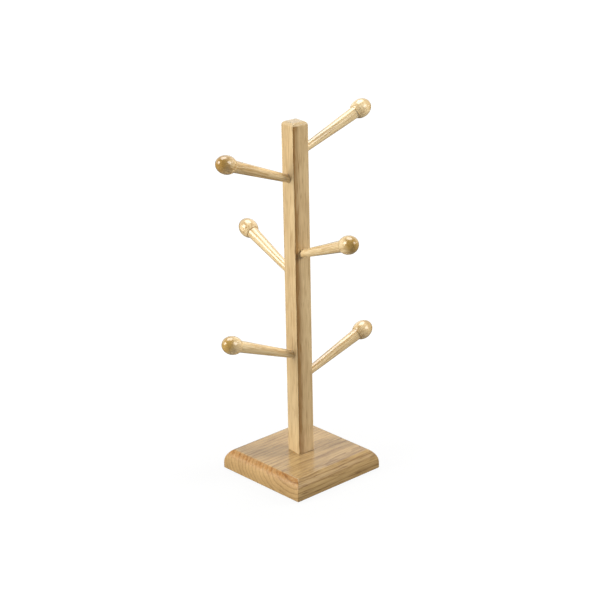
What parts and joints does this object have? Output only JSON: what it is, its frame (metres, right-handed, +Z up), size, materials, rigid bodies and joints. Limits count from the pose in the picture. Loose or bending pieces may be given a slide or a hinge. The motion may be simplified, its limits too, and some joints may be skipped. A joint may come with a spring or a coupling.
{
  "type": "mug rack",
  "caption": "Free-standing wooden mug tree: a square post on a moulded square base, with ball-ended pegs that slope up from its four faces to hold mugs by their handles.",
  "frame": {"origin": "on the table under the post's axis, in the plane of the pads' undersides", "axes": "+Z up along the post; the post's faces look along X and Y, and -Y is the front"},
  "size_m": [0.1966, 0.1966, 0.4006],
  "materials": {
    "base_wood": "clear gloss lacquer",
    "post_wood": "clear gloss lacquer",
    "peg_wood": "clear gloss lacquer",
    "screw_steel": "zinc plated",
    "pad_felt": "pressed felt"
  },
  "bodies": {
    "root": {"base_board": "base_wood", "post": "post_wood", "top_peg_right": "peg_wood", "top_peg_left": "peg_wood", "middle_peg_front": "peg_wood", "middle_peg_back": "peg_wood", "bottom_peg_left": "peg_wood", "bottom_peg_right": "peg_wood", "base_screw": "screw_steel", "pad_front_left": "pad_felt", "pad_front_right": "pad_felt", "pad_back_left": "pad_felt", "pad_back_right": "pad_felt"}
  },
  "joints": []
}
